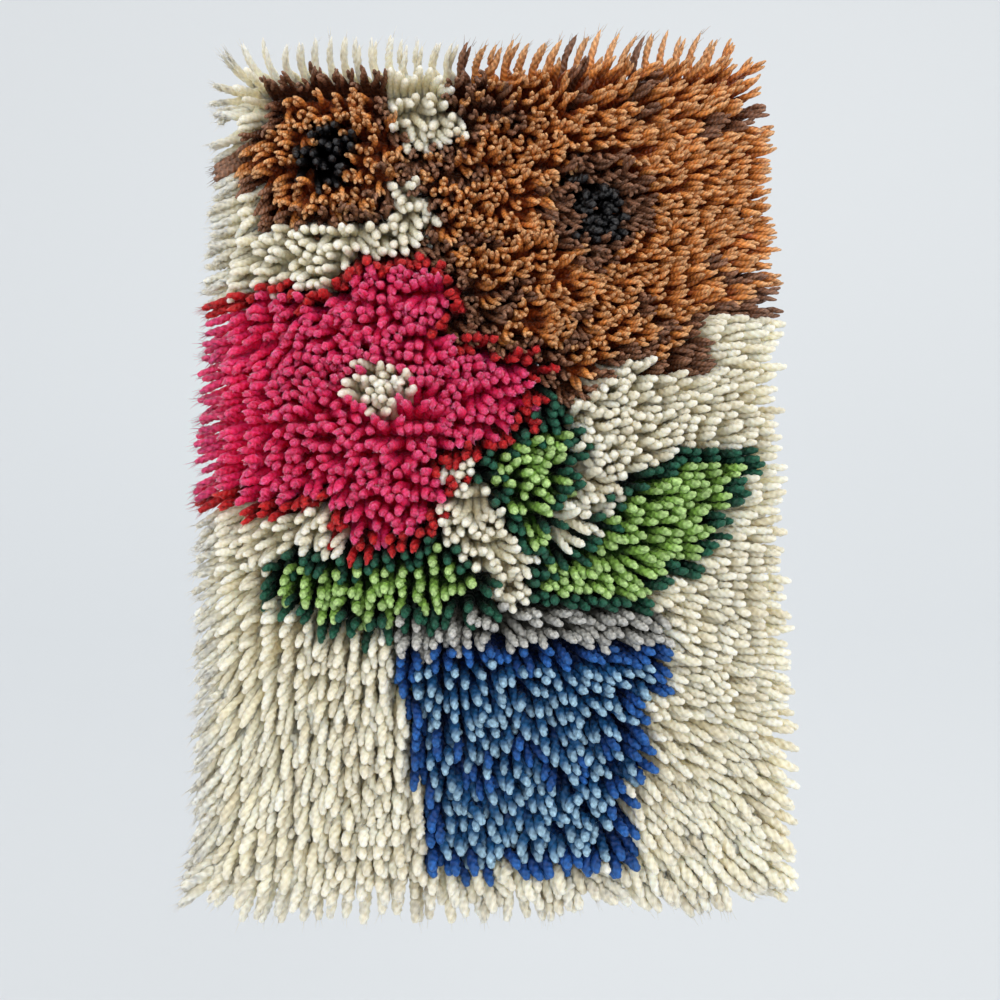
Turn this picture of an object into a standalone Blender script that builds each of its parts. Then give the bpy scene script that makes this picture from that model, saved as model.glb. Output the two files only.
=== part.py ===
"""Latch hook wall hanging: short lengths of cut yarn knotted through a rug canvas.

The canvas hangs upright in the XZ plane with its pile towards -Y and its turned hem towards
+Y, the wall's side. +Z is up, and +X is to the right of someone who looks at the pile. The
origin is the middle of the canvas's top edge, where the hanging is held up. Lengths are in
metres; places in the design are in knots, counted from the canvas's lower left corner.

The pile is one solid for each patch of one yarn colour. Every knot is a tuft with its own
peak, the rim's knots end in locks that stand out past the canvas, and all of them follow one
smooth lean, so that patches which meet at their roots never cross higher up.
"""

import math

import bmesh
import bpy
import numpy as np
from mathutils import Vector, noise

# Canvas: ten meshes to three inches, with its unworked margin turned to the back.
PITCH = 0.0077
COLUMNS = 34
ROWS = 54
WIDTH = COLUMNS * PITCH
HEIGHT = ROWS * PITCH
CANVAS_THICKNESS = 0.0012
HEM_DEPTH = 0.030
HEM_GAP = 0.0020  # room for the yarn that wraps the canvas behind

# Pile, measured along the yarn from the canvas.
GAP = 0.0003
ROOT = CANVAS_THICKNESS / 2 + GAP
VALLEY = 0.0150
RIM_VALLEY = 0.0115
PEAK = 0.0245
VALLEY_SWELL = 0.0016
PEAK_SWELL = 0.0022
LOCK_LENGTH = 0.0256
LOCK_UNEVENNESS = 0.10
LOCK_SPREAD = 0.0022
TIP_ALONG = 0.42
TIP_ACROSS = 0.26

# Lean of the yarn, as parts of its length: across is towards +X, and along is towards +Z.
LEAN_LEFT = 0.04
LEAN_RIGHT = 0.46
LEAN_DOWN = -0.24
RIM_SPLAY = 0.40
LOCK_SPLAY = 0.18
SPLAY_REACH = 1.5  # knots

# Yarn colours, as (red, green, blue) in linear light.
COLOURS = {
    "canvas": (0.72, 0.66, 0.52),
    "cream": (0.78, 0.73, 0.60),
    "golden_brown": (0.38, 0.165, 0.045),
    "dark_brown": (0.06, 0.022, 0.012),
    "pink": (0.62, 0.055, 0.17),
    "light_blue": (0.14, 0.30, 0.56),
    "grey": (0.33, 0.33, 0.33),
    "green": (0.035, 0.13, 0.045),
}

# Flowers: name, yarn, centre, mean radius, number of petals and how deep the petals are cut.
FLOWERS = (
    ("sunflower", "golden_brown", (23.5, 44.0), 11.6, 11, 1.5),
    ("bud", "golden_brown", (6.0, 48.0), 5.2, 6, 0.8),
    ("pink_flower", "pink", (8.6, 31.0), 8.9, 5, 1.7),
)
SUNFLOWER_CENTRE_RADIUS = 2.9

# Leaves and stems are lens shapes: base, tip and width.
LEAVES = (
    ((19.0, 15.0), (21.5, 33.5), 2.6),
    ((17.0, 15.0), (11.0, 24.0), 2.6),
    ((21.0, 17.0), (32.5, 27.0), 6.4),
    ((20.5, 20.0), (17.0, 30.5), 4.2),
    ((17.5, 18.0), (2.5, 19.0), 5.6),
)

# Pot: a trapezoid with a band under its mouth.
POT_MIDDLE = 19.0
POT_FOOT_ROW = 2.0
POT_BAND_ROW = 15.0
POT_MOUTH_ROW = 17.0
POT_FOOT_HALF_WIDTH = 5.6
POT_MOUTH_HALF_WIDTH = 8.4

SMALLEST_PATCH = 10  # knots; a smaller speck joins the patch beside it


def knots():
    """The middle of every knot, as two arrays of COLUMNS by ROWS."""
    return np.meshgrid(np.arange(COLUMNS) + 0.5, np.arange(ROWS) + 0.5, indexing="ij")


def flower_mask(centre, radius, petals, cut):
    across, along = knots()
    across = across - centre[0]
    along = along - centre[1]
    angle = np.arctan2(along, across)
    edge = radius + cut * (2 * np.abs(np.cos(petals * angle / 2)) - 1)
    return np.hypot(across, along) < edge


def leaf_mask(base, tip, width):
    """A lens between two points: full width half way, and pointed at both ends."""
    across, along = knots()
    reach = Vector(tip) - Vector(base)
    length = reach.length
    reach.normalize()
    forward = (across - base[0]) * reach.x + (along - base[1]) * reach.y
    aside = (across - base[0]) * reach.y - (along - base[1]) * reach.x
    share = np.clip(forward / length, 0, 1)
    half_width = width / 2 * np.sqrt(np.sin(math.pi * share))
    return (forward > 0) & (forward < length) & (np.abs(aside) < half_width)


def pot_mask():
    across, along = knots()
    share = (along - POT_FOOT_ROW) / (POT_MOUTH_ROW - POT_FOOT_ROW)
    half_width = POT_FOOT_HALF_WIDTH + share * (POT_MOUTH_HALF_WIDTH - POT_FOOT_HALF_WIDTH)
    return (share > 0) & (share < 1) & (np.abs(across - POT_MIDDLE) < half_width)


def design():
    """The name of each knot's motif, and the yarn of each motif. Later motifs cover earlier ones."""
    names = np.full((COLUMNS, ROWS), "ground", dtype=object)
    yarns = {"ground": "cream"}
    for base, tip, width in LEAVES:
        names[leaf_mask(base, tip, width)] = "leaves"
    yarns["leaves"] = "green"
    for name, yarn, centre, radius, petals, cut in FLOWERS:
        names[flower_mask(centre, radius, petals, cut)] = name
        yarns[name] = yarn
    names[flower_mask(FLOWERS[0][2], SUNFLOWER_CENTRE_RADIUS, 1, 0)] = "sunflower_centre"
    yarns["sunflower_centre"] = "dark_brown"
    pot = pot_mask()
    names[pot] = "pot"
    yarns["pot"] = "light_blue"
    names[pot & (knots()[1] > POT_BAND_ROW)] = "pot_band"
    yarns["pot_band"] = "grey"
    return names, yarns


def neighbours(cell):
    column, row = cell
    for step in ((1, 0), (-1, 0), (0, 1), (0, -1)):
        beside = (column + step[0], row + step[1])
        if 0 <= beside[0] < COLUMNS and 0 <= beside[1] < ROWS:
            yield beside


def patches(names):
    """Every set of knots of one motif that are joined side to side, from the lower left up."""
    found = []
    seen = set()
    for cell in np.ndindex(names.shape):
        if cell in seen:
            continue
        patch = [cell]
        seen.add(cell)
        for member in patch:
            for beside in neighbours(member):
                if beside not in seen and names[beside] == names[cell]:
                    seen.add(beside)
                    patch.append(beside)
        found.append((names[cell], patch))
    return found


def join_specks(names):
    for name, patch in patches(names):
        if len(patch) >= SMALLEST_PATCH:
            continue
        around = [names[b] for cell in patch for b in neighbours(cell) if names[b] != name]
        for cell in patch:
            names[cell] = max(sorted(set(around)), key=around.count)


def fill_pinches(names):
    """Where two knots of one motif meet only at a corner, the knot beside both joins them."""
    for column in range(COLUMNS - 1):
        for row in range(ROWS - 1):
            block = names[column : column + 2, row : row + 2]
            if block[0, 0] == block[1, 1] and block[0, 0] not in (block[0, 1], block[1, 0]):
                block[1, 0] = block[0, 0]
            if block[0, 1] == block[1, 0] and block[0, 1] not in (block[0, 0], block[1, 1]):
                block[1, 1] = block[0, 1]


def named_patches():
    """Every patch with its node's name and yarn. A motif in several patches numbers them."""
    names, yarns = design()
    for _ in range(3):
        join_specks(names)
        fill_pinches(names)
    found = patches(names)
    counts = {}
    for name, patch in found:
        counts[name] = counts.get(name, 0) + 1
        several = sum(other == name for other, _ in found) > 1
        yield f"{name}_{counts[name]}" if several else name, yarns[name], patch


def swell(across, along, scale, seed):
    """Smooth unevenness from -1 to 1 over the pile."""
    return noise.noise(Vector((across * scale, along * scale, seed))) * 1.6


def lean(across, along):
    """Which way the yarn rooted at this place, in knots, points: a unit vector."""
    right = LEAN_LEFT + (LEAN_RIGHT - LEAN_LEFT) * (across / COLUMNS) ** 1.6
    x = right + RIM_SPLAY * (
        math.exp(-(COLUMNS - across) / SPLAY_REACH) * 0.4 - math.exp(-across / SPLAY_REACH)
    )
    z = LEAN_DOWN + RIM_SPLAY * (
        1.3 * math.exp(-(ROWS - along) / SPLAY_REACH) - 0.6 * math.exp(-along / SPLAY_REACH)
    )
    x += 0.05 * swell(across, along, 0.16, 3.1)
    z += 0.05 * swell(across, along, 0.16, 8.7)
    return Vector((x, -math.sqrt(max(0.2, 1 - x * x - z * z)), z)).normalized()


def on_canvas(across, along, depth=ROOT):
    """A place given in knots, as a point in front of the canvas."""
    return Vector((across * PITCH - WIDTH / 2, -depth, along * PITCH - HEIGHT))


def in_pile(across, along, length):
    return on_canvas(across, along) + lean(across, along) * length


def clear_scene():
    for obj in list(bpy.data.objects):
        bpy.data.objects.remove(obj, do_unlink=True)


def material(name, colour):
    made = bpy.data.materials.new(name)
    made.use_nodes = True
    shader = made.node_tree.nodes["Principled BSDF"]
    shader.inputs["Base Color"].default_value = (*colour, 1)
    shader.inputs["Roughness"].default_value = 0.85
    shader.inputs["Metallic"].default_value = 0
    made.diffuse_color = (*colour, 1)
    return made


def face_outwards(bm):
    bmesh.ops.recalc_face_normals(bm, faces=bm.faces)
    if bm.calc_volume(signed=True) < 0:
        bmesh.ops.reverse_faces(bm, faces=bm.faces)


def add_object(name, bm, finish, collection):
    mesh = bpy.data.meshes.new(name)
    bm.to_mesh(mesh)
    bm.free()
    mesh.materials.append(finish)
    obj = bpy.data.objects.new(name, mesh)
    collection.objects.link(obj)
    return obj


def canvas(finish, collection):
    """One sheet: its face, the fold along its four edges and the hem behind them."""
    fold = CANVAS_THICKNESS + HEM_GAP
    bm = bmesh.new()
    bmesh.ops.create_grid(bm, x_segments=1, y_segments=1, size=0.5)
    for vert in bm.verts:
        vert.co = Vector((vert.co.x * WIDTH, 0, (vert.co.y - 0.5) * HEIGHT))
    rim = bmesh.ops.extrude_edge_only(bm, edges=list(bm.edges))["geom"]
    for vert in (v for v in rim if isinstance(v, bmesh.types.BMVert)):
        vert.co.y = fold
    edge = [e for e in rim if isinstance(e, bmesh.types.BMEdge)]
    hem = bmesh.ops.extrude_edge_only(bm, edges=edge)["geom"]
    for vert in (v for v in hem if isinstance(v, bmesh.types.BMVert)):
        vert.co.x -= math.copysign(HEM_DEPTH, vert.co.x)
        vert.co.z -= math.copysign(HEM_DEPTH, vert.co.z + HEIGHT / 2)
    bmesh.ops.recalc_face_normals(bm, faces=bm.faces)
    # The sheet's half thickness lies outside its middle surface, so that is drawn in first.
    for vert in bm.verts:
        if abs(vert.co.x) > WIDTH / 2 - HEM_DEPTH / 2:
            vert.co.x -= math.copysign(CANVAS_THICKNESS / 2, vert.co.x)
            vert.co.z -= math.copysign(CANVAS_THICKNESS / 2, vert.co.z + HEIGHT / 2)
    obj = add_object("canvas", bm, finish, collection)
    sheet = obj.modifiers.new("sheet", "SOLIDIFY")
    sheet.thickness = CANVAS_THICKNESS
    sheet.offset = 0
    sheet.use_even_offset = True
    return obj


def cut_patch(bm, patch):
    """Leaves one square for each of the patch's knots, drawn in by half the gap at its edges."""
    bmesh.ops.create_grid(bm, x_segments=COLUMNS, y_segments=ROWS, size=0.5)
    for vert in bm.verts:
        vert.co.x = (vert.co.x + 0.5) * COLUMNS
        vert.co.y = (vert.co.y + 0.5) * ROWS
    kept = set(patch)
    others = [
        face
        for face in bm.faces
        if (int(face.calc_center_median().x), int(face.calc_center_median().y)) not in kept
    ]
    bmesh.ops.delete(bm, geom=others, context="FACES")
    inward = {}
    for vert in bm.verts:
        if vert.is_boundary:
            sides = sum((f.calc_center_median() - vert.co for f in vert.link_faces), Vector())
            inward[vert] = Vector([round(math.copysign(abs(s) > 0.25, s)) for s in sides])
    for vert, step in inward.items():
        vert.co += step * (GAP / 2 / PITCH)


def rim_distance(across, along):
    return min(across, along, COLUMNS - across, ROWS - along)


def raise_tufts(bm):
    """Gives every square a peak, over valleys that run between the knots, and walls to the canvas.

    Returns the roots' edges and, for each wall on the canvas's own edge, its place in knots.
    """
    corners = list(bm.verts)
    peaks = bmesh.ops.poke(bm, faces=list(bm.faces))["verts"]
    rim = [edge for edge in bm.edges if edge.is_boundary]
    walls = bmesh.ops.extrude_edge_only(bm, edges=rim)["geom"]
    roots = [part for part in walls if isinstance(part, bmesh.types.BMVert)]
    outer = {}
    for face in (part for part in walls if isinstance(part, bmesh.types.BMFace)):
        middle = face.calc_center_median()
        if rim_distance(middle.x, middle.y) < 0.1:
            outer[face] = (middle.x, middle.y)
    for vert in corners:
        across, along, _ = vert.co
        valley = RIM_VALLEY if rim_distance(across, along) < 0.1 else VALLEY
        valley += VALLEY_SWELL * swell(across, along, 0.45, 1.9)
        vert.co = in_pile(across, along, valley)
    for vert in peaks:
        across, along, _ = vert.co
        peak = PEAK + PEAK_SWELL * swell(across, along, 0.83, 5.3)
        vert.co = in_pile(across, along, peak)
    for vert in roots:
        across, along, _ = vert.co
        vert.co = on_canvas(across, along)
    return outer


def lock_direction(across, along):
    """The rim's yarn leans out a little further than the tufts beside it."""
    direction = lean(across, along)
    if min(across, COLUMNS - across) < min(along, ROWS - along):
        direction.x += math.copysign(LOCK_SPLAY, across - COLUMNS / 2)
    else:
        direction.z += math.copysign(LOCK_SPLAY, along - ROWS / 2)
    direction.x += LOCK_SPREAD / LOCK_LENGTH * swell(across, along, 0.9, 12.4)
    return direction.normalized()


def add_locks(bm, outer):
    """Draws every outer wall out to a thin tip. Each lock's root is the wall itself."""
    for wall, (across, along) in outer.items():
        upright = min(across, COLUMNS - across) < min(along, ROWS - along)
        edge = Vector((0, 0, 1)) if upright else Vector((1, 0, 0))
        length = LOCK_LENGTH * (1 + LOCK_UNEVENNESS * swell(across, along, 1.3, 15.8))
        end = on_canvas(across, along) + lock_direction(across, along) * length
        middle = wall.calc_center_median()
        tip = bmesh.ops.extrude_discrete_faces(bm, faces=[wall])["faces"][0]
        for vert in tip.verts:
            arm = vert.co - middle
            beside = edge * arm.dot(edge)
            vert.co = end + beside * TIP_ALONG + (arm - beside) * TIP_ACROSS


def pile_patch(name, patch, finish, collection):
    bm = bmesh.new()
    cut_patch(bm, patch)
    outer = raise_tufts(bm)
    foot = [edge for edge in bm.edges if edge.is_boundary]
    bmesh.ops.triangle_fill(bm, use_beauty=True, edges=foot)
    add_locks(bm, outer)
    face_outwards(bm)
    return add_object(name, bm, finish, collection)


def main():
    clear_scene()
    collection = bpy.data.collections.new("latch_hook_wall_hanging")
    bpy.context.scene.collection.children.link(collection)
    finishes = {name: material(name, colour) for name, colour in COLOURS.items()}
    canvas(finishes["canvas"], collection)
    for name, yarn, patch in named_patches():
        pile_patch(name, patch, finishes[yarn], collection)


main()
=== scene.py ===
"""Looks of the latch hook wall hanging: every yarn end, the net canvas behind them and its hem.

The frame's canvas gives the place and size of everything, and the frame's pile patches say
which yarn each knot is tied in. Lengths are in metres; "across" and "along" count knots from
the canvas's lower left corner. Arrays that describe yarn ends have one row for each end.
"""

import math
from typing import NamedTuple

import bpy
import numpy as np
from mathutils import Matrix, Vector, noise
from mathutils.bvhtree import BVHTree


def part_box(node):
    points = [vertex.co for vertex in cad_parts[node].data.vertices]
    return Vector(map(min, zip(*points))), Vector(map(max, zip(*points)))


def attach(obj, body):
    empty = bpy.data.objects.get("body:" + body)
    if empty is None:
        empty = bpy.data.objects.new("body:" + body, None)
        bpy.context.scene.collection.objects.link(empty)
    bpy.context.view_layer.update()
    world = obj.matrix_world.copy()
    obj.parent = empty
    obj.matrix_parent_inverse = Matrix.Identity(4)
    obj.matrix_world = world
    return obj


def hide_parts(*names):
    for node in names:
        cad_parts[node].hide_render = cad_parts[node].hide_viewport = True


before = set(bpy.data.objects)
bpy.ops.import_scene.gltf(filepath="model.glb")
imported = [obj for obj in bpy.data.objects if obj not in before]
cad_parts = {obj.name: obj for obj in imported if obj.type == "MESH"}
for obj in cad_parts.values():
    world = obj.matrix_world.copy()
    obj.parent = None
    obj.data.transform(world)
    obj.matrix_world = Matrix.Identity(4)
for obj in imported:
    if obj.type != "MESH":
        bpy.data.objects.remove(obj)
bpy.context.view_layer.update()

# Canvas, as in the frame.
COLUMNS = 34
ROWS = 54
canvas_low, canvas_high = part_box("canvas")
PITCH = (canvas_high.x - canvas_low.x) / COLUMNS
LEFT = canvas_low.x
BOTTOM = canvas_low.z
FRONT = canvas_low.y
BACK = canvas_high.y
THREAD_THICKNESS = 0.0011
THREAD_WIDTH = 0.0026
THREAD_OUTLINE = ((1, 0.1), (0.1, 0.9), (-0.9, 0.4), (-1, -0.1), (-0.1, -0.9), (0.9, -0.4))
THREAD_WAVE = 0.00028  # how far a thread weaves to and fro
EDGE_INSET = 0.15  # in meshes, from the canvas's edge to the outermost upright thread
HEM_MESHES = 4
HEM_LAYER = BACK - THREAD_THICKNESS / 2

# Yarn ends.
PILE = 0.0285
KNOT_SLIP = 0.0006  # how unevenly the two ends of a knot share its yarn
CUT_UNEVENNESS = 0.0005
TOP_SHORTER = 0.0030
KNOT_SPREAD = 0.24  # in knots, from the middle of a knot to each of its two ends
YARN_RADIUS = 0.00232
ROOT_SWELL = 0.0055  # the ends are broadest this far from the canvas
PLIES = 3
PLY_TURN = 0.0160  # length of one full turn of the plies
PLY_DEPTH = 0.12  # how far the plies stand out, as a part of the radius
PLY_SHAPE = (-1.3, 0.65, 0.65)  # a ply's part of the outline: its groove, and two points on its back
# Shade painted in the groove between plies, for each point of a ply's outline.
FIRM_GROOVE_SHADE = (1, 0, 0)
OPEN_YARNS = ("golden_brown", "dark_brown")  # their plies have come apart
OPEN_PLIES = 2
OPEN_TURN = 0.0360
OPEN_SPREAD = 0.52  # from the middle of the yarn to that of an open ply, in yarn radii
OPEN_THICKNESS = 0.69
# Shade painted in the grooves, for each side of an open ply:
OPEN_GROOVE_SHADE = (0, 0.3, 1, 1, 0.3)  # one for each side of an open ply
TIP_LIFT = 0.0003  # the middle of a cut tip stands out this far
FRAYED_LIFT = -0.0004
FRAYED_ROUGHNESS = 0.15  # unevenness of a frayed yarn's outline, as a part of its radius
WRAP_RISE = 0.0021  # half the height of the yarn's turn behind a thread, and its depth
WRAP_DEPTH = 0.0017
WRAP_YARN = (0.0013, 0.0021)  # half sizes of the flattened yarn there
RING_STEP = 0.0026
FIBRE_STRETCH = 0.16  # the fibres' pattern is finer round the yarn than along it, by this
RIDGE = 0.0024  # between two of the ridges that twist along a yarn
STRAIGHT_ROOT = 0.0125  # in the field the plies are not followed below this
PATH_POINTS = 10
RELAX_STEPS = 26
PAIR_REACH = 0.019  # ends whose roots are further apart never push each other
CLOSENESS = 0.88  # how close two ends may lie, as a part of their radii together
PIECE_ENDS = 620  # most yarn ends in one mesh
SEED = 7

# How an end narrows towards its tip: distances from the canvas, and parts of its radius.
FIELD_TAPER = ((0, 0.020, 0.0245, 0.0268, PILE), (1, 1, 0.98, 0.82, 0.46))
OPEN_TAPER = ((0, 0.020, 0.0245, 0.0268, PILE), (1, 1, 0.90, 0.72, 0.34))
SPIKE_TAPER = ((0, 0.012, 0.021, 0.0255, PILE), (1.05, 1.05, 0.88, 0.60, 0.16))
BRUSH_TAPER = ((0, 0.012, 0.021, 0.0262, PILE), (1, 1.05, 1.03, 0.84, 0.50))

# Lean of the tips, as parts of the yarn's length, at shares of the way across and up.
LEAN_RIGHT = ((0, 0.4, 0.7, 1), (-0.02, 0.10, 0.48, 0.80))
LEAN_DOWN = ((0, 0.1, 0.2, 0.32, 0.45, 0.7, 0.9), (0.66, 0.72, 0.60, 0.36, 0.20, 0.32, 0.50))
TOP_RISE = 1.05
LEFT_SPLAY = 0.95
RIGHT_SPLAY = 0.05
TOP_REACH = 1.1  # in knots
SIDE_REACH = 2.0
LEFT_REACH = 9
BOTTOM_REACH = 8
CORNER_REACH = 3
ROWS_START = (21, 2)  # in knots across and along, where level rows begin
ROWS_BLEND = 8
ROPES_END = (17, 28)  # where hanging ropes end
ROPES_BLEND = (4, 8)

# Yarn colours in linear light: at the tips, with painted light (most yarns are paler there), on the
# sides, and down between the ends, with painted shade (for pink lighter than its side, painted light
# that lifts that shade).
YARNS = {
    "cream": ((0.77, 0.72, 0.59), (0.86, 0.79, 0.60), (0.87, 0.77, 0.54)),
    "golden_brown": ((0.74, 0.40, 0.185), (0.66, 0.238, 0.050), (0.26, 0.045, 0.006)),
    "dark_brown": ((0.29, 0.140, 0.080), (0.20, 0.083, 0.040), (0.100, 0.029, 0.010)),
    "black": ((0.010, 0.010, 0.012), (0.006, 0.006, 0.007), (0.002, 0.002, 0.002)),
    "pink": ((0.74, 0.050, 0.160), (0.91, 0.020, 0.120), (0.98, 0.012, 0.110)),
    "red": ((0.46, 0.012, 0.015), (0.32, 0.004, 0.007), (0.10, 0.003, 0.003)),
    "light_blue": ((0.31, 0.49, 0.63), (0.007, 0.074, 0.200), (0.001, 0.018, 0.095)),
    "royal_blue": ((0.018, 0.11, 0.37), (0.006, 0.048, 0.21), (0.002, 0.010, 0.055)),
    "grey": ((0.50, 0.50, 0.48), (0.36, 0.36, 0.34), (0.075, 0.075, 0.065)),
    "lime": ((0.42, 0.61, 0.24), (0.22, 0.40, 0.070), (0.015, 0.055, 0.005)),
    "dark_green": ((0.014, 0.100, 0.060), (0.005, 0.041, 0.024), (0.001, 0.007, 0.005)),
}

# How deep light goes into the yarn, in metres.
LIGHT_DEPTH = 0.0012
GLOWING_DEPTH = 0.0070
GLOWING_YARNS = ("cream", "pink", "red")
FRAYED_YARNS = ("pink", "red")


class Finish(NamedTuple):
    """How a yarn's surface looks. A tone or shade is a strength, and for some the level that it adds
    to.
    The groove and ridge shades are shade painted into the grooves between plies and along the twisted
    ridges.
    """

    painted_groove_shade: tuple
    streak_tone: tuple
    painted_ridge_shade: float
    ridge_height: float
    bump: float
    roughness: float
    specular: float


FINISHES = {
    "smooth": Finish((-0.12, 1.04), (0.50, 0.75), 0.08, 0.20, 0.5, 0.45, 0.28),
    "glossy": Finish((-0.24, 1.07), (0.90, 0.55), 0.24, 0.35, 1.0, 0.24, 0.50),
    "woolly": Finish((-0.24, 1.07), (0.90, 0.55), 0.15, 0.35, 1.0, 0.45, 0.28),
}
YARN_FINISHES = {
    "cream": "smooth",
    "golden_brown": "glossy",
    "dark_brown": "glossy",
    "black": "glossy",
}  # the others are woolly


class Hairs(NamedTuple):
    """Fine fibres that stand off the yarn, between two shares of the way along it."""

    thickness: float
    reach: float
    spread: float
    lowest: float
    highest: float


RIM_HAIRS = Hairs(0.00016, 0.0060, 0.34, 0.60, 1.0)
FRAYED_HAIRS = Hairs(0.00022, 0.0036, 0.34, 0.84, 0.96)
LOOSE_HAIRS = Hairs(0.00005, 0.0075, 1.2, 0.45, 0.80)
LEFT_RIM_COUNT = 30  # hairs on each end at the left rim, at the lower one and at the others
LOWER_RIM_COUNT = 10
RIM_COUNT = 4
FRAYED_COUNT = 2.2
LOOSE_COUNT = 0.4

# Main yarn and outline yarn of each patch of the frame's pile.
PATCH_YARNS = {
    "ground": ("cream", None),
    "sunflower": ("golden_brown", "dark_brown"),
    "sunflower_centre": ("black", "dark_brown"),
    "bud": ("golden_brown", "dark_brown"),
    "pink_flower": ("pink", "red"),
    "pot": ("light_blue", "royal_blue"),
    "pot_band": ("grey", None),
    "leaves": ("lime", "dark_green"),
}

rng = np.random.default_rng(SEED)


# ---------------------------------------------------------------- the design, knot by knot


def place(across, along, depth):
    """A place given in knots, as a point that far in front of the canvas's front face."""
    return (LEFT + across * PITCH, FRONT - depth, BOTTOM + along * PITCH)


def points_at(across, along, depth):
    """The same for arrays of places, with one row for each point."""
    x, _, z = place(across, along, depth)
    return np.stack([x, np.full(len(across), FRONT - depth), z], 1)


def patch_of_knots():
    """The name of the pile patch that stands in front of each knot, as COLUMNS by ROWS."""
    patches = [name for name in sorted(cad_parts) if name != "canvas"]
    trees = {}
    for name in patches:
        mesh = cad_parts[name].data
        mesh.calc_loop_triangles()
        faces = [tuple(t.vertices) for t in mesh.loop_triangles]
        trees[name] = BVHTree.FromPolygons([v.co.copy() for v in mesh.vertices], faces)
    found = np.full((COLUMNS, ROWS), "", dtype=object)
    for column, row in np.ndindex(found.shape):
        start = Vector(place(column + 0.5, row + 0.5, 0))
        for name in patches:
            if trees[name].ray_cast(start, Vector((0, -1, 0)), 0.001)[0]:
                found[column, row] = name
    return found


def motif(patch):
    """A patch's name without the number that tells it from others of its motif."""
    return patch.rsplit("_", 1)[0] if patch[-1].isdigit() else patch


def is_edge(patches, column, row):
    """Whether a knot has one of another motif beside it."""
    own = motif(patches[column, row])
    for step in ((1, 0), (-1, 0), (0, 1), (0, -1)):
        beside = (column + step[0], row + step[1])
        if 0 <= beside[0] < COLUMNS and 0 <= beside[1] < ROWS:
            if motif(patches[beside]) != own:
                return True
    return False


def middle_of(patch):
    """The middle of a patch in knots, and half its width."""
    where = np.argwhere(KNOT_PATCHES == patch) + 0.5
    low, high = where.min(0), where.max(0)
    return (low + high) / 2, (high[0] - low[0]) / 2


def yarn_of(column, row):
    patch = KNOT_PATCHES[column, row]
    own = motif(patch)
    main, outline = PATCH_YARNS[own]
    if outline and is_edge(KNOT_PATCHES, column, row):
        return outline
    if own == "sunflower" and on_petal_line(column, row, "sunflower_centre", 11, 7.0):
        return outline
    if own == "pink_flower" and knot_distance(column, row, patch) < 2.0:
        return "cream"
    if own == "bud" and knot_distance(column, row, patch) < 1.8:
        return "black"
    if own == "pot" and on_zigzag(column, row):
        return outline
    return main


def knot_distance(column, row, patch):
    return math.dist((column + 0.5, row + 0.5), middle_of(patch)[0])


def on_petal_line(column, row, centre, petals, start):
    """Whether a knot lies on one of the dark lines that part a flower's petals."""
    middle = middle_of(centre)[0]
    across, along = column + 0.5 - middle[0], row + 0.5 - middle[1]
    radius = math.hypot(across, along)
    turn = (math.atan2(along, across) * petals / (2 * math.pi) + 0.5) % 1 - 0.5
    return radius > start and abs(turn) * radius * 2 * math.pi / petals < 0.5


def on_zigzag(column, row):
    """Whether a knot lies on the zigzag across the pot."""
    middle = middle_of("pot")[0]
    wave = abs((column + 0.5 - middle[0] + 20) % 5 - 2.5)
    return abs(row + 0.5 - middle[1] - wave + 1.2) < 0.6


# ---------------------------------------------------------------- how the yarn lies


def swell(across, along, scale, seed):
    """Smooth unevenness from about -1 to 1 over the pile, for arrays of places."""
    spots = zip(across.ravel() * scale, along.ravel() * scale)
    values = [noise.noise(Vector((x, z, seed))) * 1.6 for x, z in spots]
    return np.array(values).reshape(across.shape)


def unit(vectors):
    return vectors / np.linalg.norm(vectors, axis=-1, keepdims=True)


def uneven_lean(across, along, broad_seed, fine_seed):
    """Broad unevenness of the tips' lean with a finer one on it."""
    broad = swell(across, along, 0.15, broad_seed)
    fine = swell(across, along, 0.42, fine_seed)
    return 0.20 * broad + 0.18 * fine


def tip_lean(across, along):
    """The (x, z) parts of the direction that the tips point in."""
    left, right = near_left(across), near_right(across, along)
    top, bottom = near_top(along), near_bottom(along)
    hung = hanging(across, along)
    sides = np.exp(-across / CORNER_REACH) + np.exp((across - COLUMNS) / CORNER_REACH)
    x = np.interp(across / COLUMNS, *LEAN_RIGHT) * (1 - 0.8 * top)
    x += RIGHT_SPLAY * np.exp((across - COLUMNS) / SIDE_REACH)
    x -= LEFT_SPLAY * np.exp(-across / SIDE_REACH)
    x += uneven_lean(across, along, 3.3, 5.9) * (1 - 0.8 * np.maximum(left, hung))
    z = -np.interp(along / ROWS, *LEAN_DOWN) * (1 - 0.70 * right) * (1 - 0.35 * bottom * sides)
    z -= 0.26 * left * (1 - 0.6 * bottom)
    z += TOP_RISE * top
    z -= 0.10 * hung
    z += uneven_lean(across, along, 9.1, 12.7) * (1 - 0.5 * right)
    return x, z


def near_left(across):
    return np.clip(1 - across / LEFT_REACH, 0, 1)


def near_right(across, along):
    """Where the ends of each row of knots lie to the right, one beside the other."""
    inside = np.clip((across - ROWS_START[0]) / ROWS_BLEND, 0, 1)
    return inside * np.clip((along - ROWS_START[1]) / ROWS_BLEND, 0, 1)


def hanging(across, along):
    """Where the ends of each column of knots hang one over the other, as ropes."""
    inside = np.clip((ROPES_END[0] - across) / ROPES_BLEND[0], 0, 1)
    return inside * np.clip((ROPES_END[1] - along) / ROPES_BLEND[1], 0, 1)


def near_bottom(along):
    return np.clip(1 - along / BOTTOM_REACH, 0, 1)


def near_top(along):
    return np.exp((along - ROWS + 0.5) / TOP_REACH)


def pointing(x, z):
    """The directions out of the canvas whose x and z parts are these."""
    flat = np.hypot(x, z)
    kept = np.minimum(flat, 0.94)
    shrink = kept / np.maximum(flat, 1e-6)
    return np.stack([x * shrink, -np.sqrt(1 - kept**2), z * shrink], 1)


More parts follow.
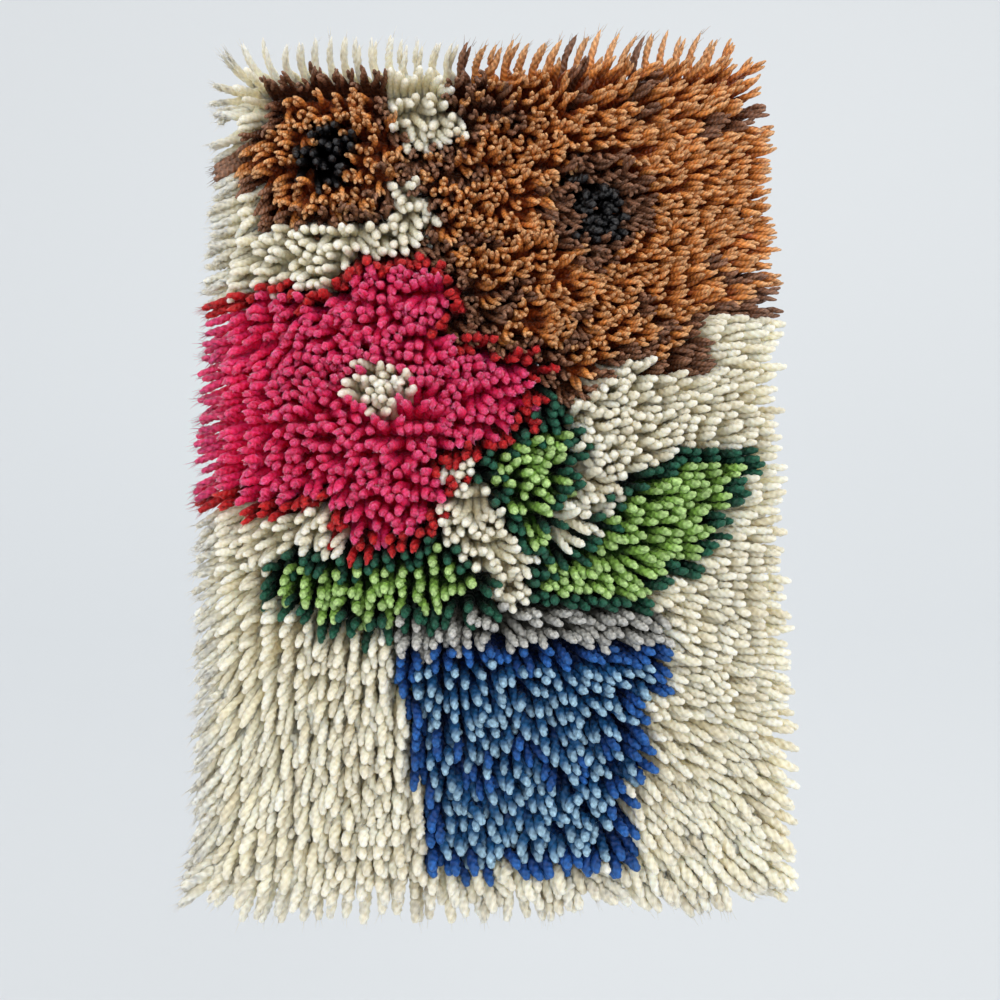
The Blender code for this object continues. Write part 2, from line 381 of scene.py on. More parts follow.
def yarn_paths(across, along, side, lengths):
    """The middle line of every yarn end, from the canvas to its tip.

    Near the left side, low down and at the top a knot's two ends lie one over the other, as
    they do where the pile has been brushed, and those of the top row curve over to the right.
    On the right they lie one above the other too, in level rows.
    """
    count = len(across)
    x, z = tip_lean(across, along)
    left, top = np.maximum(near_left(across), hanging(across, along)), near_top(along)
    together = np.maximum(left, top)
    right = near_right(across, along) * (1 - top)
    scatter = 0.17 - 0.12 * np.maximum(together, right)
    apart = 0.14 * side * left * (1 - top)
    tip = pointing(
        x + rng.normal(0, 1, count) * scatter + 0.34 * top,
        z + rng.normal(0, 1, count) * scatter + apart,
    )
    early = rng.uniform(0.05, 0.95, count)
    base = pointing(
        early * x + side * 0.10 * (1 - np.maximum(together, right)) - 0.45 * top,
        early * z + apart,
    )
    roots = points_at(across + side * KNOT_SPREAD, along, 0.0009)
    paths = [roots]
    step = lengths / (PATH_POINTS - 1)
    for index in range(1, PATH_POINTS):
        share = (index - 0.5) / (PATH_POINTS - 1)
        mix = np.clip(share * (1.6 - 0.5 * top), 0, 1)[:, None]
        mix = mix * mix * (3 - 2 * mix)
        heading = unit(base * (1 - mix) + tip * mix * (1 + 0.25 * share))
        paths.append(paths[-1] + heading * step[:, None])
    paths = np.stack(paths, 1)
    joined = np.clip(np.arange(PATH_POINTS) / 3, 0, 1)[None]
    spread = side * KNOT_SPREAD * PITCH
    paths[:, :, 0] -= joined * (spread * np.maximum(together, right))[:, None]
    paths[:, :, 2] += joined * (spread * right)[:, None]
    paths[:, :, 1] += joined * (side * 0.0016 * top)[:, None]
    return paths


def near_pairs(roots, reach):
    """Every pair of yarn ends whose roots are this near, each pair once."""
    cells = {}
    keys = np.floor(roots[:, [0, 2]] / reach).astype(int)
    for index, key in enumerate(map(tuple, keys)):
        cells.setdefault(key, []).append(index)
    first, second = [], []
    for key, members in cells.items():
        around = []
        for step_x in (-1, 0, 1):
            for step_z in (-1, 0, 1):
                around += cells.get((key[0] + step_x, key[1] + step_z), [])
        around = np.array(around)
        for member in members:
            others = around[around > member]
            close = np.linalg.norm(roots[others] - roots[member], axis=1) < reach
            second.append(others[close])
            first.append(np.full(int(close.sum()), member))
    return np.concatenate(first), np.concatenate(second)


def gather(flat_index, values, size):
    return np.stack([np.bincount(flat_index, values[:, axis], size) for axis in range(3)], 1)


def relax(paths, lengths, radii):
    """Moves yarn ends apart where they would run through each other, at constant length."""
    count = len(paths)
    first, second = near_pairs(paths[:, 0], PAIR_REACH)
    first, second = np.concatenate([first, second]), np.concatenate([second, first])
    spacing = (radii[first] + radii[second]) * CLOSENESS
    step = (lengths / (PATH_POINTS - 1))[:, None]
    rest = paths.copy()
    for _ in range(RELAX_STEPS):
        push = np.zeros((count * PATH_POINTS, 3))
        weight = np.zeros(count * PATH_POINTS)
        heading = unit(np.gradient(paths, axis=1))
        for level in range(1, PATH_POINTS):
            here = paths[first, level]
            offset = np.einsum("ij,ij->i", here - paths[second, level], heading[second, level])
            spot = np.clip(level + offset / step[second, 0], 0, PATH_POINTS - 1.001)
            lower = spot.astype(int)
            share = (spot - lower)[:, None]
            there = paths[second, lower] * (1 - share) + paths[second, lower + 1] * share
            apart = here - there
            distance = np.linalg.norm(apart, axis=1)
            close = distance < spacing
            overlap = (spacing[close] - distance[close]) / np.maximum(distance[close], 1e-5)
            index = first[close] * PATH_POINTS + level
            push += gather(index, apart[close] * overlap[:, None] * 0.5, count * PATH_POINTS)
            weight += np.bincount(index, minlength=count * PATH_POINTS)
        push = (push / np.maximum(1, weight * 0.45)[:, None]).reshape(count, PATH_POINTS, 3)
        freedom = np.linspace(0, 1, PATH_POINTS)[None, :, None]
        paths = paths + push * freedom + (rest - paths) * 0.03
        paths[:, 1:, 1] = np.minimum(paths[:, 1:, 1], FRONT - YARN_RADIUS * 0.9)
        for level in range(1, PATH_POINTS):
            along = unit(paths[:, level] - paths[:, level - 1])
            paths[:, level] = paths[:, level - 1] + along * step
    return paths


def along_paths(paths, stations):
    """Points of smooth curves through the paths, at shares 0 to 1 of their length."""
    spot = np.clip(stations, 0, 1) * (PATH_POINTS - 1)
    lower = np.minimum(spot.astype(int), PATH_POINTS - 2)
    t = (spot - lower)[None, :, None]
    padded = np.concatenate(
        [2 * paths[:, :1] - paths[:, 1:2], paths, 2 * paths[:, -1:] - paths[:, -2:-1]], 1
    )
    before, start, end, after = (padded[:, lower + shift] for shift in range(4))
    return 0.5 * (
        2 * start
        + (end - before) * t
        + (2 * before - 5 * start + 4 * end - after) * t**2
        + (3 * start - before - 3 * end + after) * t**3
    )


# ---------------------------------------------------------------- meshes from arrays


class Ends:
    """Some of the yarn ends, as arrays that have one row for each: places, lines, tones and sizes."""

    def __init__(self, **columns):
        vars(self).update(columns)

    def pick(self, chosen):
        return Ends(**{name: values[chosen] for name, values in vars(self).items()})


class MeshParts:
    """Collects vertices, faces and a tone for each vertex, and makes one mesh of them."""

    def __init__(self):
        self.points, self.tones, self.fibres, self.faces = [], [], [], {3: [], 4: []}
        self.count = 0

    def add(self, points, tones, fibres, quads, triangles):
        self.points.append(points)
        self.tones.append(tones)
        self.fibres.append(fibres)
        self.faces[4].append(quads + self.count)
        self.faces[3].append(triangles + self.count)
        self.count += len(points)

    def triangles(self):
        return sum(len(f) * (sides - 2) for sides in (3, 4) for f in self.faces[sides])

    def build(self, name):
        mesh = bpy.data.meshes.new(name)
        points = np.concatenate(self.points).astype(np.float32)
        groups = [np.concatenate(self.faces[s]) for s in (4, 3) if self.faces[s]]
        loops = np.concatenate([g.ravel() for g in groups]).astype(np.int32)
        sizes = np.concatenate([np.full(len(g), g.shape[1]) for g in groups])
        starts = np.concatenate([[0], np.cumsum(sizes)[:-1]]).astype(np.int32)
        mesh.vertices.add(len(points))
        mesh.vertices.foreach_set("co", points.ravel())
        mesh.loops.add(len(loops))
        mesh.loops.foreach_set("vertex_index", loops)
        mesh.polygons.add(len(starts))
        mesh.polygons.foreach_set("loop_start", starts)
        mesh.update(calc_edges=True)
        mesh.shade_smooth()
        tones = np.concatenate(self.tones).astype(np.float32)
        layer = mesh.color_attributes.new("tone", "FLOAT_COLOR", "POINT")
        layer.data.foreach_set("color", tones.ravel())
        fibres = np.concatenate(self.fibres).astype(np.float32)
        layer = mesh.attributes.new("fibre", "FLOAT_VECTOR", "POINT")
        layer.data.foreach_set("vector", fibres.ravel())
        obj = bpy.data.objects.new(name, mesh)
        bpy.context.scene.collection.objects.link(obj)
        return obj


def tube_faces(tubes, rings, sides):
    """Quads and triangles of tubes stored one after another: their rings, then two cap points."""
    ring = np.arange(rings - 1)[:, None] * sides
    side = np.arange(sides)[None, :]
    after = (side + 1) % sides
    quad = np.stack([ring + side, ring + after, ring + sides + after, ring + sides + side], -1)
    size = rings * sides + 2
    start = (np.arange(tubes) * size)[:, None, None]
    quads = (quad.reshape(1, -1, 4) + start).reshape(-1, 4)
    side = np.arange(sides)
    after = (side + 1) % sides
    last = (rings - 1) * sides
    foot = np.stack([after, side, np.full(sides, rings * sides)], -1)
    tip = np.stack([last + side, last + after, np.full(sides, rings * sides + 1)], -1)
    triangles = (np.concatenate([foot, tip])[None] + start).reshape(-1, 3)
    return quads, triangles


def ring_axes(lines):
    """Two axes square to each line at each of its points, without twist from point to point."""
    tangents = unit(np.gradient(lines, axis=1))
    start = np.tile([0.0, 0.0, 1.0], (len(lines), 1))
    start[np.abs(tangents[:, 0, 2]) > 0.9] = (1.0, 0.0, 0.0)
    sideways = []
    current = start
    for index in range(lines.shape[1]):
        t = tangents[:, index]
        current = unit(current - t * np.sum(current * t, axis=1, keepdims=True))
        sideways.append(current)
    sideways = np.stack(sideways, 1)
    return sideways, np.cross(tangents, sideways), tangents


def add_tubes(parts, lines, outline, shades, share, painted_grooves=(0.0,), lift=0.0, ahead=None):
    """Tubes along lines (n, rings, 3). outline (n, rings, sides, 2) is each ring's shape.

    ahead (n, rings, sides), where it is given, moves each point of a ring along the line.

    A vertex's tone is red for the end's own shade, green for how far along the end it is, which picks
    the painted shade between the ends and the painted light at the tips, and blue for how deep it
    lies in the groove between two plies, which sets the shade painted there.
    """
    count, rings, sides = outline.shape[:3]
    first, second, tangents = ring_axes(lines)
    points = (
        lines[:, :, None]
        + outline[..., :1] * first[:, :, None]
        + outline[..., 1:] * second[:, :, None]
    )
    if ahead is not None:
        points = points + tangents[:, :, None] * ahead[..., None]
    points = points.reshape(count, rings * sides, 3)
    foot = lines[:, :1]
    tip = lines[:, -1:] + tangents[:, -1:] * lift
    points = np.concatenate([points, foot, tip], 1).reshape(-1, 3)
    tones = np.ones((count, rings, sides, 4))
    tones[..., 0] = shades[:, None, None]
    tones[..., 1] = np.broadcast_to(share, (count, rings))[..., None]
    tones[..., 2] = np.resize(painted_grooves, sides)
    tones = tones.reshape(count, rings * sides, 4)
    tones = np.concatenate([tones, tones[:, :1], tones[:, -1:]], 1)
    fibres = np.zeros((count, rings, sides, 3))
    around = np.arange(sides) * 2 * np.pi / sides
    travelled = np.cumsum(np.linalg.norm(np.diff(lines, axis=1, prepend=lines[:, :1]), axis=2), 1)
    fibres[..., 0] = np.cos(around) * YARN_RADIUS
    fibres[..., 1] = np.sin(around) * YARN_RADIUS
    fibres[..., 2] = travelled[..., None] * FIBRE_STRETCH + shades[:, None, None]
    fibres = fibres.reshape(count, rings * sides, 3)
    fibres = np.concatenate([fibres, fibres[:, :1], fibres[:, -1:]], 1)
    quads, triangles = tube_faces(count, rings, sides)
    parts.add(points, tones.reshape(-1, 4), fibres.reshape(-1, 3), quads, triangles)


# ---------------------------------------------------------------- yarn


def yarn_stations(detailed):
    """How far along a yarn end its rings lie."""
    start = 0.0 if detailed else STRAIGHT_ROOT
    twisted = np.arange(start, PILE - 0.0018, RING_STEP)
    roots = [] if detailed else [0.0, ROOT_SWELL]
    return np.concatenate([roots, twisted, [PILE - 0.0010, PILE]])


def root_sizes(travelled, filling):
    """How much taller and wider than their yarn the ends are, where they fill the canvas."""
    tall = np.interp(travelled, (0, ROOT_SWELL, STRAIGHT_ROOT), (-0.1, 1.5, 0))
    wide = np.interp(travelled, (0, ROOT_SWELL, STRAIGHT_ROOT), (-0.2, 1.0, 0))
    filling = filling[:, None, None]
    return 1 + tall[:, None] * filling, 1 + wide[:, None] * filling


def turned(travelled, count, turn):
    """How many turns the plies have made at each station, with one row for each end."""
    turns = np.maximum(0, travelled - STRAIGHT_ROOT) / turn
    return turns * rng.normal(1, 0.15, (count, 1)) + rng.random((count, 1))


def painted_light_share(travelled, detailed):
    """How far along the end each station lies, which picks the painted shade between the ends and the
    painted light at the tips. At the rim most of the painted shade is left off, as nothing shades the
    ends there.
    """
    share = travelled / PILE
    return 0.72 + 0.28 * share if detailed else share


def frayed_tips(count, rings):
    """How far ahead each point of the last two rings lies: every ply and every fibre ends apart."""
    plies = rng.uniform(-0.0022, 0.0010, (count, PLIES))
    plies = np.repeat(plies, len(PLY_SHAPE), axis=1)
    fibres = rng.uniform(-0.0014, 0.0017, plies.shape)
    ahead = np.zeros((count, rings, plies.shape[1]))
    ahead[:, -1] = plies + fibres
    ahead[:, -2] = 0.5 * plies + 0.3 * fibres
    return ahead


def add_firm_ends(parts, ends, narrowing, frayed=False):
    """Yarn ends whose twisted plies lie tightly together."""
    if not len(ends.paths):
        return
    detailed = narrowing is not FIELD_TAPER
    travelled = yarn_stations(detailed)
    lines = along_paths(ends.paths, travelled / PILE)
    sides = PLIES * len(PLY_SHAPE)
    turns = turned(travelled, len(lines), PLY_TURN)
    angle = 2 * np.pi * (turns[..., None] + np.arange(sides) / sides)
    marks = (0, ROOT_SWELL, STRAIGHT_ROOT, PILE - 0.004, PILE)
    depth = np.interp(travelled, marks, (0, 0, 1, 1, 0.5))
    lobes = 1 + PLY_DEPTH * np.tile(PLY_SHAPE, PLIES) * depth[:, None]
    taper = np.interp(travelled, *narrowing)
    radius = ends.radii[:, None, None] * (lobes * taper[:, None])[None]
    tall, wide = root_sizes(travelled, ends.filling)
    outline = np.stack([np.cos(angle) * radius * tall, np.sin(angle) * radius * wide], -1)
    share = painted_light_share(travelled, detailed)
    if not frayed:
        add_tubes(parts, lines, outline, ends.shades, share, FIRM_GROOVE_SHADE, TIP_LIFT)
        return
    rough = FRAYED_ROUGHNESS * np.interp(travelled, (STRAIGHT_ROOT, PILE / 2), (0, 1))
    outline = outline * (1 + rough[:, None] * rng.normal(0, 1, outline.shape[:3]))[..., None]
    ahead = frayed_tips(len(lines), len(travelled))
    add_tubes(parts, lines, outline, ends.shades, share, FIRM_GROOVE_SHADE, FRAYED_LIFT, ahead)


def add_open_ends(parts, ends):
    """Yarn ends whose plies have come apart, each with a tip of its own."""
    if not len(ends.paths):
        return
    travelled = yarn_stations(False)
    lines = along_paths(ends.paths, travelled / PILE)
    first, second, tangents = ring_axes(lines)
    count = len(lines)
    turns = turned(travelled, count, OPEN_TURN)
    apart = OPEN_SPREAD * np.interp(travelled, (ROOT_SWELL, STRAIGHT_ROOT, PILE), (0.2, 1, 1.1))
    thickness = np.interp(travelled, (ROOT_SWELL, STRAIGHT_ROOT), (1, OPEN_THICKNESS))
    taper = np.interp(travelled, *OPEN_TAPER)
    tall, wide = root_sizes(travelled, ends.filling)
    late = np.clip(travelled / PILE - 0.5, 0, 1)[None, :, None] * 2
    share = painted_light_share(travelled, False)
    sides = len(OPEN_GROOVE_SHADE)
    for ply in range(OPEN_PLIES):
        angle = 2 * np.pi * (turns + ply / OPEN_PLIES + rng.normal(0, 0.05, (count, 1)))
        out = np.cos(angle)[..., None] * first + np.sin(angle)[..., None] * second
        own = lines + out * apart[:, None] * ends.radii[:, None, None]
        own = own + tangents * late * rng.uniform(-0.0032, 0.0008, (count, 1, 1))
        around = angle[..., None] + np.arange(sides) * 2 * np.pi / sides
        size = ends.radii[:, None, None] * (thickness * taper)[:, None]
        outline = np.stack([np.cos(around) * size * tall, np.sin(around) * size * wide], -1)
        own_shades = np.clip(ends.shades + rng.normal(0, 0.15, count), 0, 1)
        add_tubes(parts, own, outline, own_shades, share, OPEN_GROOVE_SHADE, TIP_LIFT)


def add_wraps(parts, ends):
    """The yarn's turn round the canvas behind each knot: the same ends, seen from the back."""
    count = len(ends.paths)
    rings = 3
    bend = np.linspace(0.08, 0.92, rings) * np.pi
    middle = points_at(ends.across + ends.side * KNOT_SPREAD, ends.along, 0)
    rise = np.cos(bend) * WRAP_RISE
    back = np.sin(bend) * WRAP_DEPTH
    lines = np.stack(
        [
            np.repeat(middle[:, :1], rings, 1),
            np.full((count, rings), FRONT + THREAD_THICKNESS / 2) + back,
            middle[:, 2:] + rise,
        ],
        -1,
    )
    angle = (np.arange(4) + 0.5) * np.pi / 2
    size = rng.normal(1, 0.06, (count, 1, 1)) * np.ones((1, rings, 1))
    outline = [np.cos(angle) * WRAP_YARN[0] * size, np.sin(angle) * WRAP_YARN[1] * size]
    outline = np.stack(outline, -1)
    # The wraps take mostly the colour of the painted shade between the ends.
    add_tubes(parts, lines, outline, ends.shades, 0.6)


def add_hairs(parts, ends, each, kind):
    """Hairs of this kind, about this many on each end."""
    paths = ends.paths
    wanted = rng.poisson(np.broadcast_to(each, len(paths)))
    picked = np.repeat(np.arange(len(paths)), wanted)
    if not len(picked):
        return
    count, rings = len(picked), 3
    spot = rng.uniform(kind.lowest, kind.highest, count) * (PATH_POINTS - 1.001)
    lower = spot.astype(int)
    step = paths[picked, lower + 1] - paths[picked, lower]
    out = unit(rng.normal(0, 1, (count, 3)))
    here = paths[picked, lower] + step * (spot - lower)[:, None] + out * YARN_RADIUS * 0.45
    start = unit(unit(step) + out * kind.spread)
    bend = unit(rng.normal(0, 1, (count, 3)) + np.array([0.0, 0.0, -0.5]))
    length = rng.uniform(0.5 * kind.reach, kind.reach, count)[:, None]
    lines = [here]
    for index in range(1, rings):
        heading = unit(start + bend * 0.35 * index * kind.spread)
        lines.append(lines[-1] + heading * length / (rings - 1))
    lines = np.stack(lines, 1)
    angle = np.arange(3) * 2 * np.pi / 3
    radius = kind.thickness * np.array([1.0, 0.75, 0.25])[None, :, None] * np.ones((count, 1, 1))
    outline = np.stack([np.cos(angle) * radius, np.sin(angle) * radius], -1)
    # Hairs take the tip colour, with its painted light.
    add_tubes(parts, lines, outline, ends.shades[picked], 1.0)


# ---------------------------------------------------------------- materials


class Material:
    """A new material, with short ways to add nodes and to feed their sockets."""

    def __init__(self, name):
        self.made = bpy.data.materials.new(name)
        self.made.use_nodes = True
        self.tree = self.made.node_tree
        self.shader = self.tree.nodes["Principled BSDF"]

    def feed(self, socket, value):
        if isinstance(value, bpy.types.NodeSocket):
            self.tree.links.new(value, socket)
        elif isinstance(value, tuple) and socket.type == "RGBA":
            socket.default_value = (*value, 1)
        else:
            socket.default_value = value

    def add(self, kind, **fed):
        node = self.tree.nodes.new("ShaderNode" + kind)
        for name, value in fed.items():
            self.feed(node.inputs[name], value)
        return node

    def math(self, operation, *values):
        node = self.add("Math")
        node.operation = operation
        for socket, value in zip(node.inputs, values):
            self.feed(socket, value)
        return node.outputs[0]

    def mix(self, factor, first, second, blend="MIX"):
        node = self.add("Mix")
        node.data_type = "RGBA"
        node.blend_type = blend
        # A Mix node's first input is its factor, and its seventh and eighth are the colours.
        for index, value in ((0, factor), (6, first), (7, second)):
            self.feed(node.inputs[index], value)
        return node.outputs[2]

    def noise(self, scale, detail, place):
        return self.add("TexNoise", Scale=scale, Detail=detail, Vector=place).outputs["Fac"]

    def smooth_step(self, value, start, end):
        node = self.add("MapRange", Value=value)
        node.interpolation_type = "SMOOTHSTEP"
        node.inputs["From Min"].default_value = start
        node.inputs["From Max"].default_value = end
        return node.outputs["Result"]

    def finish(self, colour, roughness, specular, height, strength, distance):
        """Feeds the shader, with a bump of this height."""
        bump = self.add("Bump", Strength=strength, Distance=distance, Height=height)
        self.feed(self.shader.inputs["Base Color"], colour)
        self.feed(self.shader.inputs["Roughness"], roughness)
        self.feed(self.shader.inputs["Specular IOR Level"], specular)
        self.feed(self.shader.inputs["Normal"], bump.outputs["Normal"])


def twisted_ridges(material, lay):
    """A wave from -1 to 1 that winds twice round the yarn as it runs along it: the ridges' bump, and
    the light and shade painted along them.
    """
    split = material.add("SeparateXYZ", Vector=lay).outputs
    winding = material.math("MULTIPLY", material.math("ARCTAN2", split["Y"], split["X"]), 2)
    waves = 2 * math.pi / (FIBRE_STRETCH * RIDGE)
    return material.math("SINE", material.math("MULTIPLY_ADD", split["Z"], waves, winding))


def yarn_material(name):
    tip, side, deep = YARNS[name]
    finish = FINISHES[YARN_FINISHES.get(name, "woolly")]
    glowing = name in GLOWING_YARNS
    material = Material("yarn_" + name)
    tones = material.add("VertexColor")
    tones.layer_name = "tone"
    parts = material.add("SeparateColor", Color=tones.outputs["Color"]).outputs
    lay = material.add("Attribute")
    lay.attribute_name = "fibre"
    fibre = material.noise(1300, 3, lay.outputs["Vector"])
    blotch = material.noise(240, 2, material.add("TexCoord").outputs["Object"])
    ridges = twisted_ridges(material, lay.outputs["Vector"])
    # Painted shade between the ends, full colour on their sides, and painted light where the fibres
    # end.
    low = material.smooth_step(parts["Green"], 0.45, 0.82)
    high = material.smooth_step(parts["Green"], 0.78, 1.00)
    colour = material.mix(high, material.mix(low, deep, side), tip)
    # The end's own tone, with shade painted in the grooves between plies, light and shade painted
    # along the twisted ridges, and fibre streaks and blotches.
    level = material.math("MULTIPLY_ADD", parts["Red"], 0.44, 0.78)
    for value, strength, fixed in (
        (parts["Blue"], *finish.painted_groove_shade),
        (fibre, *finish.streak_tone),
        (blotch, 0.30, 0.85),
        (ridges, finish.painted_ridge_shade, 1.0),
    ):
        tone = material.math("MULTIPLY_ADD", value, strength, fixed)
        level = material.math("MULTIPLY", level, tone)
    grey = material.add("CombineColor", Red=level, Green=level, Blue=level).outputs["Color"]
    colour = material.mix(1.0, colour, grey, "MULTIPLY")
    height = material.math("MULTIPLY_ADD", ridges, finish.ridge_height, fibre)
    material.finish(colour, finish.roughness, finish.specular, height, finish.bump, 0.0005)
    inputs = material.shader.inputs
    inputs["Subsurface Weight"].default_value = 0.9 if glowing else 0.3
    inputs["Subsurface Radius"].default_value = (1.0, 0.85, 0.65)
    inputs["Subsurface Scale"].default_value = GLOWING_DEPTH if glowing else LIGHT_DEPTH
    inputs["Sheen Weight"].default_value = 0.0 if name == "black" else 0.08
    inputs["Sheen Roughness"].default_value = 0.4
    inputs["Sheen Tint"].default_value = (*(0.5 + 0.5 * c for c in tip), 1)
    return material.made


def canvas_material():
    material = Material("canvas_thread")
    spot = material.add("TexCoord").outputs["Object"]
    fibre = material.noise(2200, 3, spot)
    blotch = material.noise(90, 2, spot)
    level = material.math("MULTIPLY", material.math("MULTIPLY", fibre, blotch), 3.0)
    colour = material.mix(level, (0.62, 0.55, 0.40), (0.82, 0.77, 0.64))
    material.finish(colour, 0.7, 0.3, fibre, 0.6, 0.0002)
    return material.made


# ---------------------------------------------------------------- the pile


def rim_distance(across, along):
    return np.minimum(np.minimum(across, COLUMNS - across), np.minimum(along, ROWS - along))


def lay_yarn():
    """Both ends of every knot, column by column from the lower left corner."""
    column, row = np.meshgrid(np.arange(COLUMNS), np.arange(ROWS), indexing="ij")
    across, along = np.repeat(column.ravel(), 2) + 0.5, np.repeat(row.ravel(), 2) + 0.5
    side = np.tile([-1.0, 1.0], COLUMNS * ROWS)
    count = len(across)
    slip = np.repeat(rng.normal(0, KNOT_SLIP, count // 2), 2) * side
    lengths = PILE + slip + rng.normal(0, CUT_UNEVENNESS, count) - TOP_SHORTER * near_top(along)
    fuller = 1 + 0.20 * near_bottom(along) - 0.22 * near_top(along) - 0.08 * near_left(across)
    radii = YARN_RADIUS * fuller * rng.normal(1, 0.05, count)
    paths = yarn_paths(across, along, side, lengths)
    paths = relax(paths, lengths, radii)
    shades = np.clip(0.5 + rng.normal(0, 0.24, count), 0, 1)
    at_rim = rim_distance(across, along) < 1
    rim = at_rim & (across < COLUMNS - 1)
    return Ends(
        across=across,
        along=along,
        side=side,
        rim=rim,
        paths=paths,
        shades=shades,
        radii=radii,
        filling=np.where(rim, 0.35, np.where(at_rim, 0.6, 1.0)),
    )


def ends_by_yarn():
    """The numbers of the ends of each patch and yarn, as lay_yarn counts them."""
    groups = {}
    for knot, (column, row) in enumerate(np.ndindex(COLUMNS, ROWS)):
        group = (KNOT_PATCHES[column, row], yarn_of(column, row))
        groups.setdefault(group, []).extend([2 * knot, 2 * knot + 1])
    return groups


def add_pile(parts, ends, yarn):
    """All that one mesh of the pile holds."""
    inner, outer = ends.pick(~ends.rim), ends.pick(ends.rim)
    at_top = outer.along > ROWS - 1
    frayed = yarn in FRAYED_YARNS
    add_firm_ends(parts, outer.pick(at_top), SPIKE_TAPER)
    add_firm_ends(parts, outer.pick(~at_top), BRUSH_TAPER)
    each = np.where(outer.along < 1, LOWER_RIM_COUNT, RIM_COUNT)
    add_hairs(parts, outer, np.where(outer.across < 1, LEFT_RIM_COUNT, each), RIM_HAIRS)
    if frayed:
        add_hairs(parts, inner, FRAYED_COUNT, FRAYED_HAIRS)
    if yarn in OPEN_YARNS:
        add_open_ends(parts, inner)
    else:
        add_firm_ends(parts, inner, FIELD_TAPER, frayed)
    add_wraps(parts, ends)
    add_hairs(parts, ends, LOOSE_COUNT, LOOSE_HAIRS)


def make_pile():
    """The whole pile, sorted into one mesh or a few for each patch and yarn."""
    ends = lay_yarn()
    materials = {name: yarn_material(name) for name in YARNS}
    total = 0
    for (patch, yarn), members in sorted(ends_by_yarn().items()):
        pieces = math.ceil(len(members) / PIECE_ENDS)
        for number, chosen in enumerate(np.array_split(np.array(members), pieces)):
            parts = MeshParts()
            add_pile(parts, ends.pick(chosen), yarn)
            suffix = f"_{number + 1}" if pieces > 1 else ""
            obj = parts.build(f"{patch}-{yarn}_yarn{suffix}")
            obj.data.materials.append(materials[yarn])
            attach(obj, "root")
            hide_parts(patch)
            total += parts.triangles()
    print("yarn triangles", total)


# ---------------------------------------------------------------- canvas


def thread_line(fixed, crossings, is_upright, layer, folded):
    """One thread of the net: along the front, and where it is folded, over the edge into the hem.

    fixed is the thread's place in meshes, and crossings the places that it runs through.
    """
    points = []
    for number, spot in enumerate(crossings):
        wave = THREAD_WAVE if (number + int(fixed)) % 2 else -THREAD_WAVE
        points.append((spot, layer + wave))
    if folded:
        last = ROWS if is_upright else COLUMNS
        fold = [(back - 0.5, HEM_LAYER) for back in range(HEM_MESHES, 0, -1)]
        fold += [(0.0, HEM_LAYER * 0.85), (-0.02, FRONT + THREAD_THICKNESS * 0.6)]
        points = fold + points + [(last - spot, depth) for spot, depth in reversed(fold)]
    line = []
    for spot, depth in points:
        if is_upright:
            line.append((LEFT + fixed * PITCH, depth, BOTTOM + spot * PITCH))
        else:
            line.append((LEFT + spot * PITCH, depth, BOTTOM + fixed * PITCH))
    return np.array(line)


def make_canvas():
    """The net: upright threads between the knots, and level threads that the knots are tied on."""
    upright_places = np.arange(ROWS) + 0.5
    level_places = np.arange(COLUMNS + 1) * 0.994 + 0.1  # just inside the canvas at both sides
    hem_places = np.arange(COLUMNS) + 0.5
    middle = FRONT + THREAD_THICKNESS / 2
    threads = []
    for index in range(COLUMNS + 1):
        fixed = min(max(index, EDGE_INSET), COLUMNS - EDGE_INSET)
        threads.append(thread_line(fixed, upright_places, True, middle, True))
    for index in range(ROWS):
        threads.append(thread_line(index + 0.5, level_places, False, middle, True))
    for back in range(HEM_MESHES):
        for fixed in (back + 0.9, COLUMNS - back - 0.9):
            threads.append(thread_line(fixed, upright_places, True, HEM_LAYER, False))
        for fixed in (back + 0.5, ROWS - back - 0.5):
            threads.append(thread_line(fixed, hem_places, False, HEM_LAYER, False))
    parts = MeshParts()
    for line in threads:
        add_net_thread(parts, line)
    obj = parts.build("canvas_net")
    obj.data.materials.append(canvas_material())
    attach(obj, "root")
    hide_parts("canvas")
    print("canvas triangles", parts.triangles())
    return obj


def add_net_thread(parts, line):
    """A flat thread whose broad side always faces the front or the back."""
    is_upright = abs(line[-1, 2] - line[0, 2]) > abs(line[-1, 0] - line[0, 0])
    tangents = unit(np.gradient(line, axis=0))
    broad = np.zeros_like(tangents)
    broad[:, 0 if is_upright else 2] = THREAD_WIDTH / 2
    thin = unit(np.cross(tangents, broad)) * THREAD_THICKNESS / 2
    sides = [line + wide * broad + deep * thin for wide, deep in THREAD_OUTLINE]
    points = np.concatenate([np.stack(sides, 1).reshape(-1, 3), line[:1], line[-1:]])
    quads, triangles = tube_faces(1, len(line), len(THREAD_OUTLINE))
    parts.add(points, np.ones((len(points), 4)), points, quads, triangles)


# ---------------------------------------------------------------- surroundings

CAMERA_X = 0.0065
CAMERA_DISTANCE = 0.390
CAMERA_Z = -0.271
CAMERA_TILT = math.radians(5.6)
CAMERA_LENS = 27.0
FLOOR = -1.3
FLOOR_NEAR = -3.0
WALL = 1.3
WALL_TOP = 2.4
BEND_RADIUS = 0.9
BEND_STEPS = 12


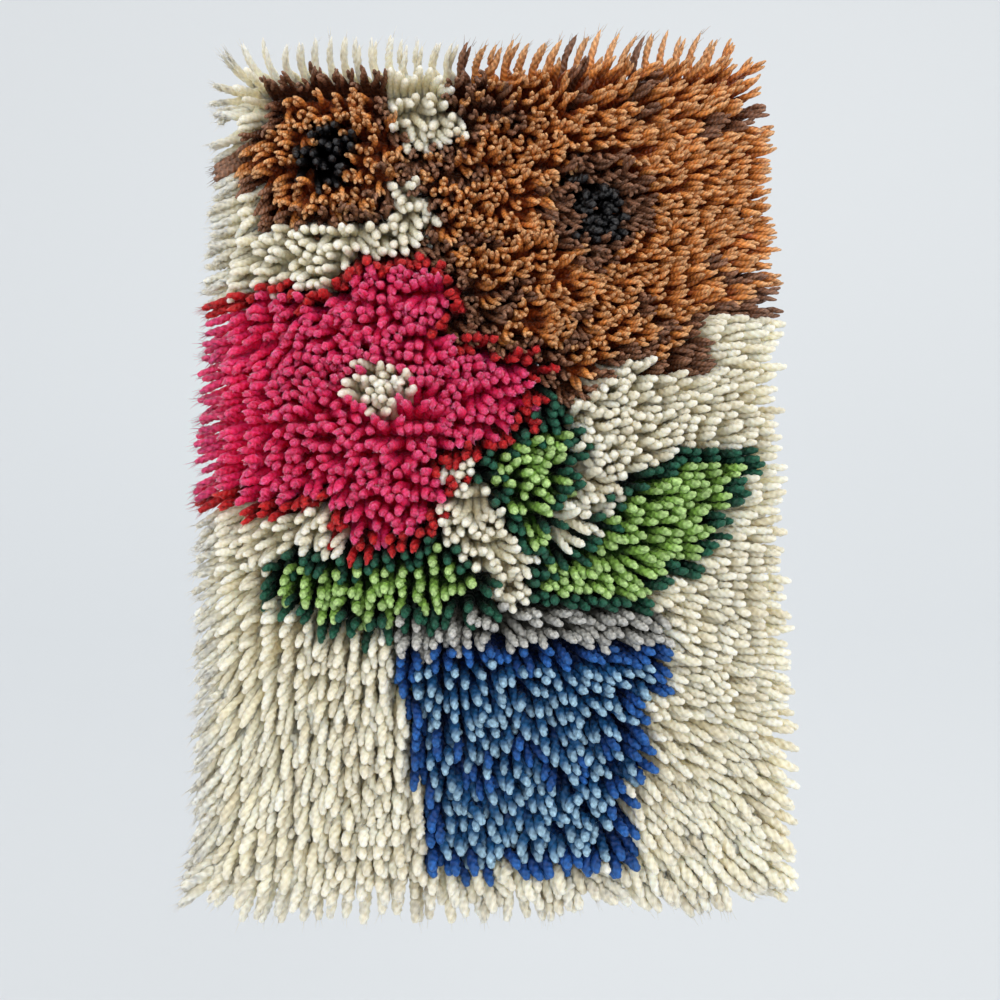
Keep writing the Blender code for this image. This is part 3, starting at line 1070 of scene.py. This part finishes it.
def make_camera():
    data = bpy.data.cameras.new("camera")
    data.lens = CAMERA_LENS
    data.sensor_width = 36.0
    data.clip_start = 0.01
    camera = bpy.data.objects.new("camera", data)
    camera.location = (CAMERA_X, -CAMERA_DISTANCE, CAMERA_Z)
    camera.rotation_euler = (math.pi / 2 + CAMERA_TILT, 0, 0)
    bpy.context.scene.collection.objects.link(camera)
    bpy.context.scene.camera = camera


def area_light(name, place_at, target, size, power, colour):
    data = bpy.data.lights.new(name, "AREA")
    data.shape = "DISK"
    data.size = size
    data.energy = power
    data.color = colour
    light = bpy.data.objects.new(name, data)
    light.location = place_at
    light.rotation_euler = (Vector(target) - Vector(place_at)).to_track_quat("-Z", "Y").to_euler()
    bpy.context.scene.collection.objects.link(light)


def make_surroundings():
    """A pale floor that curves up into a pale wall, well behind, and soft light from the right."""
    profile = [(FLOOR_NEAR, FLOOR)]
    for step in range(BEND_STEPS + 1):
        turn = step / BEND_STEPS * math.pi / 2
        y = WALL - BEND_RADIUS * (1 - math.sin(turn))
        profile.append((y, FLOOR + BEND_RADIUS * (1 - math.cos(turn))))
    profile.append((WALL, WALL_TOP))
    mesh = bpy.data.meshes.new("sweep")
    points = [(x, y, z) for y, z in profile for x in (-4, 4)]
    faces = [(2 * i, 2 * i + 1, 2 * i + 3, 2 * i + 2) for i in range(len(profile) - 1)]
    mesh.from_pydata(points, [], faces)
    mesh.shade_smooth()
    sweep = bpy.data.objects.new("sweep", mesh)
    bpy.context.scene.collection.objects.link(sweep)
    pale = Material("pale_wall")
    pale.feed(pale.shader.inputs["Base Color"], (0.675, 0.710, 0.745))
    pale.feed(pale.shader.inputs["Roughness"], 0.9)
    sweep.data.materials.append(pale.made)
    world = bpy.data.worlds.new("world")
    world.use_nodes = True
    background = world.node_tree.nodes["Background"].inputs
    background["Color"].default_value = (1.0, 0.985, 0.965, 1)
    background["Strength"].default_value = 0.98
    bpy.context.scene.world = world
    middle = (0, 0, BOTTOM / 2)
    area_light("window", (1.15, -1.50, 0.60), middle, 1.9, 18, (1.0, 0.98, 0.94))
    area_light("fill", (-1.4, -1.6, -0.5), middle, 1.2, 8, (0.98, 0.99, 1.0))
    bpy.context.scene.view_settings.view_transform = "Standard"


KNOT_PATCHES = patch_of_knots()
make_pile()
canvas = make_canvas()
make_camera()
make_surroundings()
